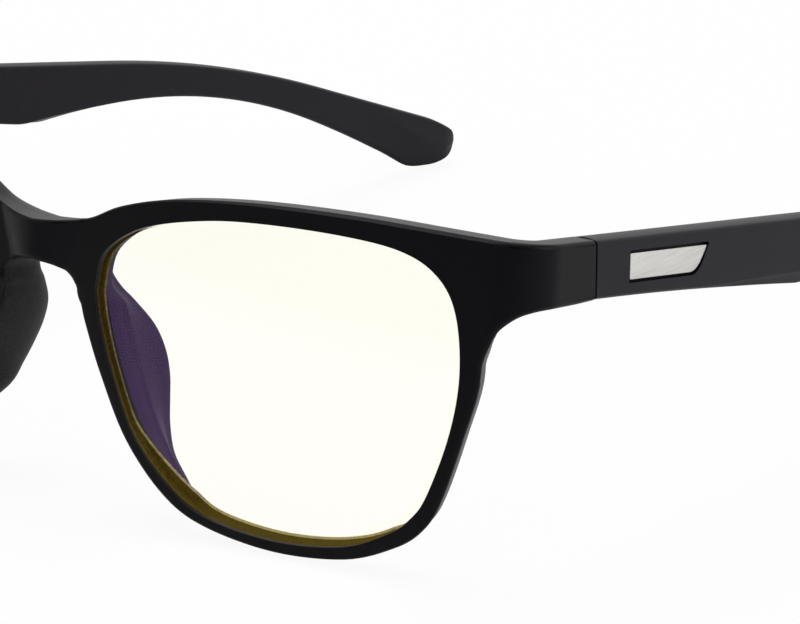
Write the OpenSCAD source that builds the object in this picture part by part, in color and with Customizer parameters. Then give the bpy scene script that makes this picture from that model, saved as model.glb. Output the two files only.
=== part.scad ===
/* [Lenses] */
// Width of a lens opening
lens_w = 53.1; // [48:0.1:58]
// Height of a lens opening
lens_h = 39.2; // [35:0.1:43]
// Gap between the two lens openings, across the nose
bridge_w = 18.6; // [16:0.2:22]
// Thickness of a lens
lens_t = 2; // [1.6:0.1:2.4]
// Radius of a lens's front surface
lens_curve_r = 170; // [140:5:220]
// How far the middle of a lens stands out in front of the frame
lens_bulge = 0.4; // [0.2:0.1:0.6]
// How far the edge tongue of a lens reaches into its groove
lens_tongue = 0.45; // [0.3:0.05:0.5]
// Thickness of that tongue
tongue_t = 0.9; // [0.6:0.1:1.1]
// Depth of the tongue behind the front of the frame
tongue_depth = 1.1; // [0.9:0.1:1.3]
// Room between a lens and its rim
lens_fit = 0.06; // [0.04:0.01:0.1]

/* [Front] */
// Depth of the front, from face to back
front_depth = 4.2; // [3.8:0.1:5]
// Radius of the front's curve round the face
face_curve_r = 296; // [240:4:400]
// Angle at which the lower rims lean towards the cheeks
face_lean = 3.3; // [0:0.1:6]
// Rim width at the brow
rim_top = 2.45; // [2.2:0.05:3.2]
// Rim width at the temple side
rim_side = 2.85; // [2.4:0.05:3.4]
// Rim width at the lower outer corner
rim_corner = 2.05; // [1.6:0.05:2.6]
// Rim width at the bottom
rim_low = 1.15; // [1:0.05:1.8]
// Rim width beside the nose
rim_nose = 2.8; // [2.2:0.05:3.2]
// Depth of an outer rim's straight wall
rim_wall = 0.4; // [0.2:0.1:1]
// Angle at which an outer rim's back is cut away behind that wall
rim_draft = 27; // [0:1:32]
// Drop of the bridge's top edge below the lens tops
bridge_drop = 5.5; // [4:0.1:7]
// Height of the bridge
bridge_h = 5.2; // [4.4:0.1:6.4]

/* [End pieces and temples] */
// Width across the temples at the hinges
hinge_w = 140.2; // [137:0.2:143]
// Distance of the hinges behind the bridge
hinge_y = 19.9; // [18:0.1:23]
// Height of an end piece
end_h = 7.2; // [7:0.1:8.4]
// Angle at which an end piece's underside rises to the split
end_rise = 3.5; // [0:0.5:6]
// Thickness of an end piece and of a temple at the hinge
temple_t = 3.6; // [3.4:0.1:4.4]
// Outer corner radius of an end piece
corner_r = 4.5; // [3:0.1:6]
// Radius of the blend from an outer rim to its end piece
end_blend_r = 7; // [2:0.5:8]
// Length of a temple from its hinge
temple_len = 142.7; // [135:0.1:152]
// How far a temple's top stands above the brow
temple_crown = 0.3; // [0:0.1:0.6]
// Height of a temple at the hinge
temple_h = 7.4; // [7:0.1:8]
// Angle at which the temples run inwards
temple_splay = 2.83; // [0:0.1:4]
// Height of a temple at its lower corner
elbow_h = 8.8; // [7.6:0.1:10]
// Distance of that corner behind the hinge
elbow_y = 46.4; // [40:0.2:52]
// Height of a temple at its waist
waist_h = 4.6; // [3.8:0.05:5.4]
// Distance of the waist behind the hinge
waist_y = 89.3; // [80:0.1:96]
// Distance of the start of the ear bend behind the hinge
bend_y = 63.7; // [56:0.1:72]
// Radius of the ear bend
bend_r = 227; // [180:1:260]
// Angle of the tip below the temple
bend_angle = 11.5; // [8:0.1:16]
// Height of a temple at the start of its tip
tip_h = 8.4; // [7:0.1:9.4]
// Length of the tip
tip_len = 11.4; // [9:0.1:14]
// Height of the tip's end
tip_end_h = 6.3; // [6:0.1:8]
// Corner radius of the tip
tip_r = 3; // [1.5:0.1:3]
// Thickness of the tip
tip_t = 3.1; // [2.8:0.1:3.6]
// Angle at which the split between end piece and temple is raked
split_rake = 9.3; // [0:0.1:12]
// Gap at the split
split_gap = 0.2; // [0.15:0.05:0.4]

/* [Hinges] */
// Height of a hinge
hinge_h = 5.6; // [5:0.1:6]
// Knuckles of a hinge, on both leaves together
knuckle_count = 5; // [3:2:5]
// Radius of a knuckle
knuckle_r = 1.15; // [1:0.05:1.4]
// Distance of a hinge's axis inside the temple's inner face
knuckle_out = 0.75; // [0.6:0.05:0.9]
// Gap between two knuckles
knuckle_gap = 0.08; // [0.05:0.01:0.12]
// Thickness of a hinge leaf
leaf_t = 0.8; // [0.6:0.05:1]
// Length of a hinge leaf's plate
leaf_len = 5.2; // [4.6:0.1:5.8]
// Distance of a leaf's plate from the hinge's axis
leaf_start = 1.4; // [1.3:0.1:1.6]
// Room round a leaf in its pocket
leaf_fit = 0.05; // [0.03:0.01:0.1]
// Radius of a hinge screw
hinge_screw_r = 0.6; // [0.5:0.05:0.7]
// Radius of a hinge screw's head
hinge_head_r = 0.9; // [0.8:0.05:0.95]
// Height of a hinge screw's head
hinge_head_h = 0.45; // [0.3:0.05:0.6]
// Radial room round a hinge screw
pin_fit = 0.03; // [0.02:0.01:0.06]
// Radius of a leaf screw
leaf_screw_r = 0.5; // [0.4:0.05:0.6]
// Length of a leaf screw below its head
leaf_screw_len = 2.4; // [1.8:0.1:2.6]
// Radius of a leaf screw's head
leaf_head_r = 0.95; // [0.8:0.05:1.1]
// Height of a leaf screw's head
leaf_head_h = 0.35; // [0.25:0.05:0.45]
// Distance between the two screws of a leaf
leaf_screw_pitch = 3; // [2.8:0.1:3.4]
// Width of a screwdriver slot
slot_w = 0.25; // [0.2:0.05:0.35]
// Depth of a screwdriver slot
slot_depth = 0.2; // [0.15:0.05:0.25]

/* [Nose pads] */
// How far a pad reaches behind its rim
pad_reach = 8; // [6:0.1:10]
// Height of a pad's lower end above the rim's lowest point
pad_low = 4; // [3:0.1:7]
// Height of a pad
pad_h = 26; // [22:0.2:27]
// Glue gap between a pad and its rim
pad_glue = 0.05; // [0.03:0.01:0.1]

/* [Badge and core] */
// Length of a badge
badge_len = 17.7; // [14:0.1:20]
// Height of a badge
badge_h = 3.5; // [2.6:0.1:4]
// Distance of a badge behind the hinge
badge_y = 7.6; // [6.6:0.1:10]
// Thickness of a badge
badge_t = 0.5; // [0.4:0.05:0.6]
// How far a badge stands out of its recess
badge_proud = 0.06; // [0:0.02:0.2]
// Slant of a badge's rear end
badge_slant = 3.4; // [1:0.1:4]
// Room round a badge
badge_fit = 0.05; // [0.03:0.01:0.15]
// Height of a core wire
core_h = 1.2; // [0.8:0.1:1.4]
// Thickness of a core wire
core_t = 1.2; // [0.8:0.1:1.4]
// Length of a core wire
core_len = 130; // [110:1:134]
// Distance of a core wire's front end behind the hinge
core_start = 0.8; // [0.6:0.1:2]
// Room round a core wire
core_fit = 0.04; // [0.02:0.01:0.06]

/* [Hidden] */

// Fineness of true curves, of outline curves and of blends
$fn = 64;
curve_steps = 5;
blend_fn = 48;
lens_fn = 240;
// A cut runs past the faces it opens by this much
past = 2;

// Places in the wearing frame: x to the wearer's left, y backwards, z up from the lowest rim
lens_x = bridge_w / 2;
lens_z = rim_low;
lens_top = lens_z + lens_h;
lens_mid = [lens_x + lens_w / 2, lens_z + lens_h / 2];
brow_top = lens_top + rim_top;
end_low = brow_top - end_h;
hinge_z = brow_top - end_h / 2;
temple_top = brow_top + temple_crown;
side_x = hinge_w / 2;

// A lens opening as closed curve through [share of width, share of height, rim width]
lens_knots = [
    for (k = [
        [0.680, 1.000, rim_top - 0.5], [0.834, 0.985, rim_top - 0.5], [0.928, 0.929, rim_top],
        [0.981, 0.824, rim_side], [1.000, 0.640, rim_side], [0.985, 0.449, (rim_side + rim_corner) / 2 - 0.2],
        [0.940, 0.250, rim_corner], [0.851, 0.095, rim_corner - 0.1], [0.731, 0.023, rim_low + 0.05],
        [0.550, 0.000, rim_low], [0.360, 0.016, rim_low - 0.1], [0.247, 0.092, rim_low],
        [0.139, 0.237, rim_low], [0.062, 0.429, (rim_nose + rim_low) / 2 - 0.3], [0.018, 0.571, rim_nose - 0.5],
        [0.000, 0.686, rim_nose], [0.032, 0.793, rim_nose], [0.132, 0.901, rim_nose - 0.2],
        [0.301, 0.962, rim_top - 0.5], [0.467, 0.990, rim_top - 0.5]])
    [lens_x + k[0] * lens_w, lens_z + k[1] * lens_h, k[2]]];

// The brow's upper edge, from the middle of the bridge outwards
brow_knots = [
    [0, lens_top - bridge_drop], [0.42 * lens_x, lens_top - bridge_drop + 0.3],
    [lens_x - 1.1, lens_top - 0.78 * bridge_drop], [lens_x + 0.07 * lens_w, lens_top - 0.35 * bridge_drop],
    [lens_x + 0.215 * lens_w, lens_top + 0.04 * rim_top], [lens_x + 0.437 * lens_w, lens_top + 0.65 * rim_top],
    [lens_x + 0.702 * lens_w, brow_top - 0.05], [lens_x + 0.955 * lens_w, brow_top],
    [side_x + past, brow_top], [side_x + 2 * past, brow_top]];

// The arch under the bridge, from the middle outwards
arch_z = lens_top - bridge_drop - bridge_h;
arch_knots = [
    [0, arch_z], [0.29 * lens_x, arch_z - 0.1], [0.52 * lens_x, arch_z - 0.4],
    [lens_x - 3.4, arch_z - 1.1], [lens_x - rim_nose, arch_z - 1.9], [lens_x - rim_nose + 0.7, arch_z - 3]];

// A pad's depth behind its rim as [share of its height, share of its reach], from the lower end up
pad_knots = [[0, 0.05], [0.06, 0.22], [0.154, 0.47], [0.27, 0.75], [0.385, 0.9], [0.54, 1],
    [0.654, 0.957], [0.77, 0.78], [0.885, 0.475], [1, 0.37]];

// Curves
function blend_point(a, b, c, d, t) =
    b + (c - a) * t / 2 + (2 * a - 5 * b + 4 * c - d) * t * t / 2 + (3 * b - a - 3 * c + d) * t * t * t / 2;
function closed_curve(k) = [
    for (i = [0 : len(k) - 1], s = [0 : curve_steps - 1])
    blend_point(k[(i + len(k) - 1) % len(k)], k[i], k[(i + 1) % len(k)], k[(i + 2) % len(k)], s / curve_steps)];
function open_curve(k) = concat([
    for (i = [0 : len(k) - 2], s = [0 : curve_steps - 1])
    blend_point(k[max(i - 1, 0)], k[i], k[i + 1], k[min(i + 2, len(k) - 1)], s / curve_steps)],
    [k[len(k) - 1]]);
function flat(p) = [p[0], p[1]];
function outward(c, i) =
    let (d = flat(c[(i + 1) % len(c)]) - flat(c[(i + len(c) - 1) % len(c)]))
    [-d[1], d[0]] / norm(d);

lens_curve = closed_curve(lens_knots);
rim_curve = [for (i = [0 : len(lens_curve) - 1]) flat(lens_curve[i]) + outward(lens_curve, i) * lens_curve[i][2]];
function lens_ring(grow) =
    [for (i = [0 : len(lens_curve) - 1]) flat(lens_curve[i]) + outward(lens_curve, i) * grow];

// The front's curve in plan, and its outer and inner sides
function face_y(x) = face_curve_r - sqrt(face_curve_r * face_curve_r - x * x);
hinge_plan_y = hinge_y + hinge_z * sin(face_lean);
function side_at(y) = side_x - (y - hinge_plan_y) * tan(temple_splay);
plan_step = 3;
plan_end = hinge_plan_y + 2 * past;

// A hinge's axis: inside the inner face of its temple
axis_to_outer = knuckle_out + temple_t;
axis_x = side_x - axis_to_outer * cos(temple_splay);
axis_y = hinge_y - axis_to_outer * sin(temple_splay);
knuckle_h = (hinge_h - (knuckle_count - 1) * knuckle_gap) / knuckle_count;
leaf_back = knuckle_out + leaf_t;
leaf_mid = leaf_start + leaf_len / 2;
knuckle_bore_r = hinge_screw_r + pin_fit;
web_in = 0.2;

// A temple seen from the side: heights along its length, measured from the hinge's axis
bend_end_y = bend_y + bend_r * sin(bend_angle);
tip_y = temple_len - tip_len;
function temple_top_at(y) =
    y < bend_y ? temple_top
    : y < bend_end_y ? temple_top - bend_r + sqrt(bend_r * bend_r - (y - bend_y) * (y - bend_y))
    : temple_top - bend_r * (1 - cos(bend_angle)) - (y - bend_end_y) * tan(bend_angle);
function temple_h_at(y) =
    y < elbow_y ? temple_h + (elbow_h - temple_h) * pow(max(y, 0) / elbow_y, 3)
    : y < waist_y ? waist_h + (elbow_h - waist_h) * pow((waist_y - y) / (waist_y - elbow_y), 2)
    : waist_h + (tip_h - waist_h) * pow((y - waist_y) / (tip_y - waist_y), 2);
function temple_mid_at(y) = temple_top_at(y) - temple_h_at(min(y, tip_y)) / 2;
temple_stations = concat(
    [-2 * past], [for (i = [0 : 9]) elbow_y * i / 10],
    [for (i = [0 : 9]) elbow_y + (waist_y - elbow_y) * i / 10],
    [for (i = [0 : 12]) waist_y + (tip_y - waist_y) * i / 12]);

// The rest on a table: rims and tips down
tip_end_z = temple_top_at(temple_len) - tip_end_h;
tip_low = [axis_y + temple_len - tip_r, tip_end_z + tip_r];
rim_back = [face_y(lens_mid[0]) + front_depth, 0];
rest_span = tip_low - rim_back;
rest_pitch = atan2(rest_span[1], rest_span[0]) - asin(tip_r / norm(rest_span));
function on_table(y, z) = [y * cos(rest_pitch) + z * sin(rest_pitch), z * cos(rest_pitch) - y * sin(rest_pitch)];
front_edge = min([for (p = rim_curve) on_table(face_y(p[0]) - p[1] * tan(face_lean), p[1])[0]]);
back_edge = on_table(tip_low[0], tip_low[1])[0] + tip_r;
table_z = min([for (p = rim_curve) on_table(face_y(p[0]) - p[1] * tan(face_lean) + front_depth, p[1])[1]]);

// Frames
module stand() {
    translate([0, -(front_edge + back_edge) / 2, -table_z])
        rotate([-rest_pitch, 0, 0])
            children();
}
module on_right() {
    mirror([1, 0, 0])
        children();
}
module lean() {
    rotate([face_lean, 0, 0])
        children();
}
module hinge_frame() {
    translate([axis_x, axis_y, hinge_z])
        rotate([0, 0, temple_splay])
            children();
}
// Stands an [x, z] outline up and runs it from y0 to y1
module through_y(y0, y1) {
    translate([0, y1, 0])
        rotate([90, 0, 0])
            linear_extrude(y1 - y0)
                children();
}
// Stands a [y, z] outline up and runs it from x0 to x1
module through_x(x0, x1) {
    translate([x0, 0, 0])
        rotate([90, 0, 90])
            linear_extrude(x1 - x0)
                children();
}

// The front's outline from the front, one half
module half_outline() {
    polygon(rim_curve);
    polygon(concat(
        open_curve(brow_knots),
        [[side_x + 2 * past, end_low], [lens_x + 0.96 * lens_w, end_low], [lens_mid[0], lens_mid[1]],
            [lens_x + 0.06 * lens_w, lens_z + 0.6 * lens_h]],
        [for (i = [len(arch_knots) - 1 : -1 : 0]) arch_knots[i]]));
}
module front_outline() {
    offset(r = -0.5, $fn = blend_fn)
        offset(r = 0.5, $fn = blend_fn) {
            half_outline();
            mirror([1, 0])
                half_outline();
            end_blend();
            mirror([1, 0])
                end_blend();
        }
}
module end_blend() {
    intersection() {
        offset(r = -end_blend_r, $fn = blend_fn)
            offset(r = end_blend_r, $fn = blend_fn)
                half_outline();
        translate([lens_mid[0] + 0.3 * lens_w, lens_mid[1] - 0.2 * lens_h])
            square([lens_w, lens_h]);
    }
}

// The front's band in plan: curved front, rounded corners, straight sides
module plan_area(depth, side_t) {
    reach = side_at(face_y(side_x)) - side_t;
    count = ceil(reach / plan_step);
    polygon(concat(
        [for (i = [-count : count]) [reach * i / count, face_y(reach * i / count) + depth]],
        [[side_at(plan_end) - side_t, plan_end], [side_t - side_at(plan_end), plan_end]]));
}
module rounded_plan(depth, side_t, r) {
    offset(r = r, $fn = blend_fn)
        offset(r = -r, $fn = blend_fn)
            plan_area(depth, side_t);
}
module front_band() {
    lean()
        translate([0, 0, -3 * past])
            linear_extrude(brow_top + 6 * past)
                difference() {
                    rounded_plan(0, 0, corner_r);
                    rounded_plan(front_depth, temple_t, corner_r / 2);
                }
}
// A sheet that follows the front's curve, between two depths behind its face
module face_sheet(depth_0, depth_1) {
    count = ceil(side_x / plan_step);
    xs = [for (i = [-count : count]) side_x * i / count];
    lean()
        translate([0, 0, -3 * past])
            linear_extrude(brow_top + 6 * past)
                polygon(concat(
                    [for (x = xs) [x, face_y(x) + depth_0]],
                    [for (i = [len(xs) - 1 : -1 : 0]) [xs[i], face_y(xs[i]) + depth_1]]));
}
// All that stays of the left half when its outer rim's back is cut away at a slant
module rim_draft_area() {
    edge_x = lens_x + lens_w + rim_side;
    edge_y = face_y(edge_x) + rim_wall;
    lean()
        translate([edge_x, edge_y, -edge_y * sin(face_lean)])
            rotate([0, 0, rim_draft])
                through_y(-10 * past, 10 * past)
                    offset(delta = 0)
                        scale([cos(rim_draft), 1])
                            translate([-edge_x, 0]) {
                                half_outline();
                                end_blend();
                            }
    translate([-2 * side_x, -10 * past, -past])
        cube([2 * side_x + lens_mid[0], hinge_w, brow_top + 2 * past]);
    translate([0, -10 * past, end_low - rim_wall])
        cube([hinge_w, hinge_w, end_h + 2 * past]);
}
module lens_opening() {
    through_y(-5 * past, 10 * past)
        polygon(lens_ring(0));
}
module lens_groove() {
    intersection() {
        through_y(-5 * past, 10 * past)
            polygon(lens_ring(lens_tongue + lens_fit));
        face_sheet(tongue_depth - lens_fit, tongue_depth + tongue_t + lens_fit);
    }
}
// Everything behind the raked split, or in front of it, less half its gap
module behind_split(gap) {
    rotate([split_rake, 0, 0])
        translate([-10 * past, gap, -temple_len])
            cube([20 * past, 2 * temple_len, 2 * temple_len]);
}
// What is cut from below an end piece, from the split forwards
module end_under() {
    length = leaf_start + leaf_len + past;
    translate([0, 0, temple_top - temple_h - hinge_z])
        rotate([end_rise, 0, 0])
            translate([-past, -length, -end_h])
                cube([axis_to_outer + 2 * past, length + past, end_h]);
}
module leaf_pocket() {
    pocket_h = hinge_h + 2 * leaf_fit;
    y_end = leaf_start + leaf_len + leaf_fit;
    translate([-past, -y_end, -pocket_h / 2])
        cube([past + leaf_back + leaf_fit, 2 * y_end, pocket_h]);
}
// Holes for the two screws of a leaf, on the front's side (-1) or the temple's side (1)
module leaf_screw_holes(side, r, length) {
    for (z = [-1, 1])
        translate([knuckle_out - past, side * leaf_mid, z * leaf_screw_pitch / 2])
            rotate([0, 90, 0])
                cylinder(r = r, h = length + past);
}

module left_front_cuts() {
    lens_opening();
    lens_groove();
    hinge_frame() {
        behind_split(-split_gap / 2);
        end_under();
        leaf_pocket();
        leaf_screw_holes(-1, leaf_screw_r + pin_fit, leaf_screw_len + pin_fit);
    }
}
module frame_front() {
    color([0.09, 0.09, 0.1])
        stand()
            difference() {
                intersection() {
                    through_y(-10 * past, hinge_y + 5 * past)
                        front_outline();
                    front_band();
                    rim_draft_area();
                    on_right()
                        rim_draft_area();
                }
                left_front_cuts();
                on_right()
                    left_front_cuts();
            }
}

module lens() {
    turn = asin(lens_mid[0] / face_curve_r);
    middle = [lens_mid[0] - lens_curve_r * sin(turn),
        face_y(lens_mid[0]) - lens_bulge + lens_curve_r * cos(turn), lens_mid[1]];
    difference() {
        intersection() {
            through_y(-5 * past, 10 * past)
                polygon(lens_ring(-lens_fit));
            lean()
                translate(middle)
                    sphere(r = lens_curve_r, $fn = lens_fn);
        }
        lean()
            translate(middle)
                sphere(r = lens_curve_r - lens_t, $fn = lens_fn);
    }
    intersection() {
        through_y(-5 * past, 10 * past)
            difference() {
                polygon(lens_ring(lens_tongue));
                polygon(lens_ring(-lens_tongue));
            }
        face_sheet(tongue_depth, tongue_depth + tongue_t);
    }
}
module lens_left() {
    color([0.98, 0.97, 0.9, 0.35])
        stand()
            lens();
}
module lens_right() {
    color([0.98, 0.97, 0.9, 0.35])
        stand()
            on_right()
                lens();
}

module nose_pad() {
    pad_side = [
        for (k = open_curve(pad_knots))
        [front_depth + pad_glue + pad_reach * k[1], pad_low + pad_h * k[0]]];
    difference() {
        intersection() {
            through_y(0, front_depth + pad_reach + 5 * past)
                intersection() {
                    difference() {
                        polygon(rim_curve);
                        polygon(lens_ring(0));
                    }
                    square([lens_mid[0], lens_top]);
                }
            lean()
                through_x(0, lens_mid[0])
                    polygon(concat([[0, pad_low], [0, pad_low + pad_h]],
                        [for (i = [len(pad_side) - 1 : -1 : 0]) pad_side[i]]));
        }
        face_sheet(-5 * past, front_depth + pad_glue);
    }
}
module nose_pad_left() {
    color([0.2, 0.19, 0.2])
        stand()
            nose_pad();
}
module nose_pad_right() {
    color([0.2, 0.19, 0.2])
        stand()
            on_right()
                nose_pad();
}

// A hinge leaf: its plate, and every other knuckle, starting with the given one
module hinge_leaf(side, first) {
    difference() {
        union() {
            translate([knuckle_out, side > 0 ? leaf_start : -leaf_start - leaf_len, -hinge_h / 2])
                cube([leaf_t, leaf_len, hinge_h]);
            for (i = [first : 2 : knuckle_count - 1])
                translate([0, 0, -hinge_h / 2 + i * (knuckle_h + knuckle_gap)]) {
                    cylinder(r = knuckle_r, h = knuckle_h);
                    translate([web_in, side > 0 ? 0 : -leaf_start - leaf_fit, 0])
                        cube([leaf_back - web_in, leaf_start + leaf_fit, knuckle_h]);
                }
        }
        translate([0, 0, -hinge_h])
            cylinder(r = knuckle_bore_r, h = 2 * hinge_h);
        translate([0, 0, hinge_h / 2 - hinge_head_h - pin_fit])
            cylinder(r = hinge_head_r + pin_fit, h = hinge_h);
        leaf_screw_holes(side, leaf_screw_r + pin_fit, leaf_screw_len);
    }
}
module hinge_front_leaf_left() {
    color([0.35, 0.35, 0.37])
        stand()
            hinge_frame()
                hinge_leaf(-1, 0);
}
module hinge_front_leaf_right() {
    color([0.35, 0.35, 0.37])
        stand()
            on_right()
                hinge_frame()
                    hinge_leaf(-1, 0);
}
module hinge_temple_leaf_left() {
    color([0.35, 0.35, 0.37])
        stand()
            hinge_frame()
                hinge_leaf(1, 1);
}
module hinge_temple_leaf_right() {
    color([0.35, 0.35, 0.37])
        stand()
            on_right()
                hinge_frame()
                    hinge_leaf(1, 1);
}

module slot(head_r) {
    translate([-2 * head_r, -slot_w / 2, -slot_depth])
        cube([4 * head_r, slot_w, past]);
}
module hinge_screw() {
    difference() {
        union() {
            translate([0, 0, -hinge_h / 2])
                cylinder(r = hinge_screw_r, h = hinge_h - hinge_head_h / 2);
            translate([0, 0, hinge_h / 2 - hinge_head_h])
                cylinder(r = hinge_head_r, h = hinge_head_h);
        }
        translate([0, 0, hinge_h / 2])
            slot(hinge_head_r);
    }
}
module hinge_screw_left() {
    color([0.6, 0.6, 0.62])
        stand()
            hinge_frame()
                hinge_screw();
}
module hinge_screw_right() {
    color([0.6, 0.6, 0.62])
        stand()
            on_right()
                hinge_frame()
                    hinge_screw();
}

module leaf_screws(side) {
    for (z = [-1, 1])
        translate([knuckle_out, side * leaf_mid, z * leaf_screw_pitch / 2])
            rotate([0, -90, 0])
                difference() {
                    union() {
                        translate([0, 0, -leaf_screw_len])
                            cylinder(r = leaf_screw_r, h = leaf_screw_len + leaf_head_h / 2);
                        cylinder(r = leaf_head_r, h = leaf_head_h);
                    }
                    translate([0, 0, leaf_head_h])
                        slot(leaf_head_r);
                }
}
module front_leaf_screws_left() {
    color([0.6, 0.6, 0.62])
        stand()
            hinge_frame()
                leaf_screws(-1);
}
module front_leaf_screws_right() {
    color([0.6, 0.6, 0.62])
        stand()
            on_right()
                hinge_frame()
                    leaf_screws(-1);
}
module temple_leaf_screws_left() {
    color([0.6, 0.6, 0.62])
        stand()
            hinge_frame()
                leaf_screws(1);
}
module temple_leaf_screws_right() {
    color([0.6, 0.6, 0.62])
        stand()
            on_right()
                hinge_frame()
                    leaf_screws(1);
}

// A temple from the side, with its tip's corners rounded
module temple_area() {
    polygon(concat(
        [for (y = temple_stations) [y, temple_top_at(y) - hinge_z]],
        [[temple_len, temple_top_at(temple_len) - hinge_z], [temple_len, tip_end_z - hinge_z]],
        [for (i = [len(temple_stations) - 1 : -1 : 0])
            let (y = temple_stations[i])
            [y, temple_top_at(y) - temple_h_at(y) - hinge_z]]));
}
module temple_side() {
    offset(delta = 0) {
        difference() {
            temple_area();
            translate([tip_y, -temple_len])
                square(2 * temple_len);
        }
        offset(r = tip_r, $fn = blend_fn)
            offset(r = -tip_r, $fn = blend_fn)
                intersection() {
                    temple_area();
                    translate([tip_y - 2 * tip_r, -temple_len])
                        square(2 * temple_len);
                }
    }
}
// A core wire from the side, from one distance behind the hinge to another
module core_side(y0, y1, h) {
    steps = 30;
    ys = [for (i = [0 : steps]) y0 + (y1 - y0) * i / steps];
    polygon(concat(
        [for (y = ys) [y, temple_mid_at(y) - hinge_z + h / 2]],
        [for (i = [steps : -1 : 0]) [ys[i], temple_mid_at(ys[i]) - hinge_z - h / 2]]));
}
module core(y0, fit) {
    core_x = axis_to_outer - temple_t / 2;
    t = core_t + 2 * fit;
    through_x(core_x - t / 2, core_x + t / 2)
        core_side(y0, core_start + core_len + fit, core_h + 2 * fit);
}
// A badge's outline, with a slanted rear end
module badge_outline(fit) {
    h = badge_h / 2 + fit;
    polygon([[-fit, -h], [-fit, h], [badge_len + fit, h], [badge_len - 0.45 * badge_slant + fit, -0.45 * h],
        [badge_len - badge_slant + fit, -h]]);
}
module badge(fit, depth) {
    translate([0, badge_y, 0])
        through_x(axis_to_outer - depth, axis_to_outer + badge_proud)
            badge_outline(fit);
}
module temple() {
    hinge_frame()
        difference() {
            intersection() {
                through_x(0, axis_to_outer)
                    temple_side();
                translate([0, 0, -temple_len])
                    linear_extrude(2 * temple_len)
                        polygon([[knuckle_out, -3 * past], [axis_to_outer, -3 * past],
                            [axis_to_outer, temple_len + past], [axis_to_outer - tip_t, temple_len + past],
                            [axis_to_outer - tip_t, tip_y], [knuckle_out, elbow_y]]);
                behind_split(split_gap / 2);
            }
            leaf_pocket();
            leaf_screw_holes(1, leaf_screw_r + pin_fit, leaf_screw_len + pin_fit);
            core(-3 * past, core_fit);
            badge(badge_fit, badge_t - badge_proud);
        }
}
module temple_left() {
    color([0.1, 0.1, 0.11])
        stand()
            temple();
}
module temple_right() {
    color([0.1, 0.1, 0.11])
        stand()
            on_right()
                temple();
}
module temple_core_left() {
    color([0.7, 0.7, 0.72])
        stand()
            hinge_frame()
                core(core_start, 0);
}
module temple_core_right() {
    color([0.7, 0.7, 0.72])
        stand()
            on_right()
                hinge_frame()
                    core(core_start, 0);
}
module temple_badge_left() {
    color([0.8, 0.79, 0.77])
        stand()
            hinge_frame()
                badge(0, badge_t - badge_proud);
}
module temple_badge_right() {
    color([0.8, 0.79, 0.77])
        stand()
            on_right()
                hinge_frame()
                    badge(0, badge_t - badge_proud);
}

frame_front();
lens_left();
lens_right();
nose_pad_left();
nose_pad_right();
hinge_front_leaf_left();
hinge_front_leaf_right();
hinge_temple_leaf_left();
hinge_temple_leaf_right();
hinge_screw_left();
hinge_screw_right();
front_leaf_screws_left();
front_leaf_screws_right();
temple_leaf_screws_left();
temple_leaf_screws_right();
temple_left();
temple_right();
temple_core_left();
temple_core_right();
temple_badge_left();
temple_badge_right();
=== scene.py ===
import math
import bmesh
import bpy
from mathutils import Matrix, Vector, kdtree


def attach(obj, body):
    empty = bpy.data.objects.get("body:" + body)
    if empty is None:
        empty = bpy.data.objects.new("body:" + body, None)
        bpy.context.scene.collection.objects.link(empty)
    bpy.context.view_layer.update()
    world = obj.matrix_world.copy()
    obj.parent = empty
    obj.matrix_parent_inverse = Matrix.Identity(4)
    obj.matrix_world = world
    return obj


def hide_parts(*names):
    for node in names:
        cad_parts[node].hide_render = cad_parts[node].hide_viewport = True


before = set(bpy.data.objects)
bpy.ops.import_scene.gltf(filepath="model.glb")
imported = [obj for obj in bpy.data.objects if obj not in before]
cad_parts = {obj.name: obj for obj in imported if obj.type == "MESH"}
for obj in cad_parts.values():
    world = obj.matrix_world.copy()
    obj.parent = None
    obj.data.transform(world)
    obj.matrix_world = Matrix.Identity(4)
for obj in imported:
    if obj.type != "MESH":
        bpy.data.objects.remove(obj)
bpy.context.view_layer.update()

print("frame:", len(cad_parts), "CAD nodes")

# how the worn glasses stand on a table: pitch, and the shift to the middle of the footprint (mm)
stance = {"pitch": math.radians(9.4025), "back": -83.0378, "up": 1.09729}


def stand(x, y, z):
    c, s = math.cos(stance["pitch"]), math.sin(stance["pitch"])
    return Vector((x, y * c + z * s + stance["back"], z * c - y * s + stance["up"])) / 1000


# curves through a few given points
def blendPoint(a, b, c, d, t):
    return tuple(
        q + (r - p) * t / 2 + (2 * p - 5 * q + 4 * r - w) * t * t / 2 + (3 * q - p - 3 * r + w) * t * t * t / 2
        for p, q, r, w in zip(a, b, c, d))


def closedCurve(knots, steps):
    n = len(knots)
    return [blendPoint(knots[i - 1], knots[i], knots[(i + 1) % n], knots[(i + 2) % n], k / steps)
            for i in range(n) for k in range(steps)]


def openCurve(knots, steps):
    last = len(knots) - 1
    points = [blendPoint(knots[max(i - 1, 0)], knots[i], knots[i + 1], knots[min(i + 2, last)], k / steps)
              for i in range(last) for k in range(steps)]
    return points + [tuple(knots[last])]


def heightOn(points, x):
    for (x0, z0), (x1, z1) in zip(points, points[1:]):
        if x <= x1:
            return z0 + (z1 - z0) * (x - x0) / (x1 - x0)
    return points[-1][1]


def resample(points, count):
    lengths = [0]
    for a, b in zip(points, points[1:]):
        lengths.append(lengths[-1] + math.dist(a, b))
    out = []
    for i in range(count):
        want = lengths[-1] * i / (count - 1)
        k = max(j for j in range(len(points) - 1) if lengths[j] <= want + 1e-9)
        t = min(1, (want - lengths[k]) / max(lengths[k + 1] - lengths[k], 1e-9))
        out.append(tuple(p + (q - p) * t for p, q in zip(points[k], points[k + 1])))
    return out


def smooth(low, high, x):
    t = min(1, max(0, (x - low) / (high - low)))
    return t * t * (3 - 2 * t)


def treeOf(points):
    tree = kdtree.KDTree(len(points))
    for i, point in enumerate(points):
        tree.insert(point, i)
    tree.balance()
    return tree


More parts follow.
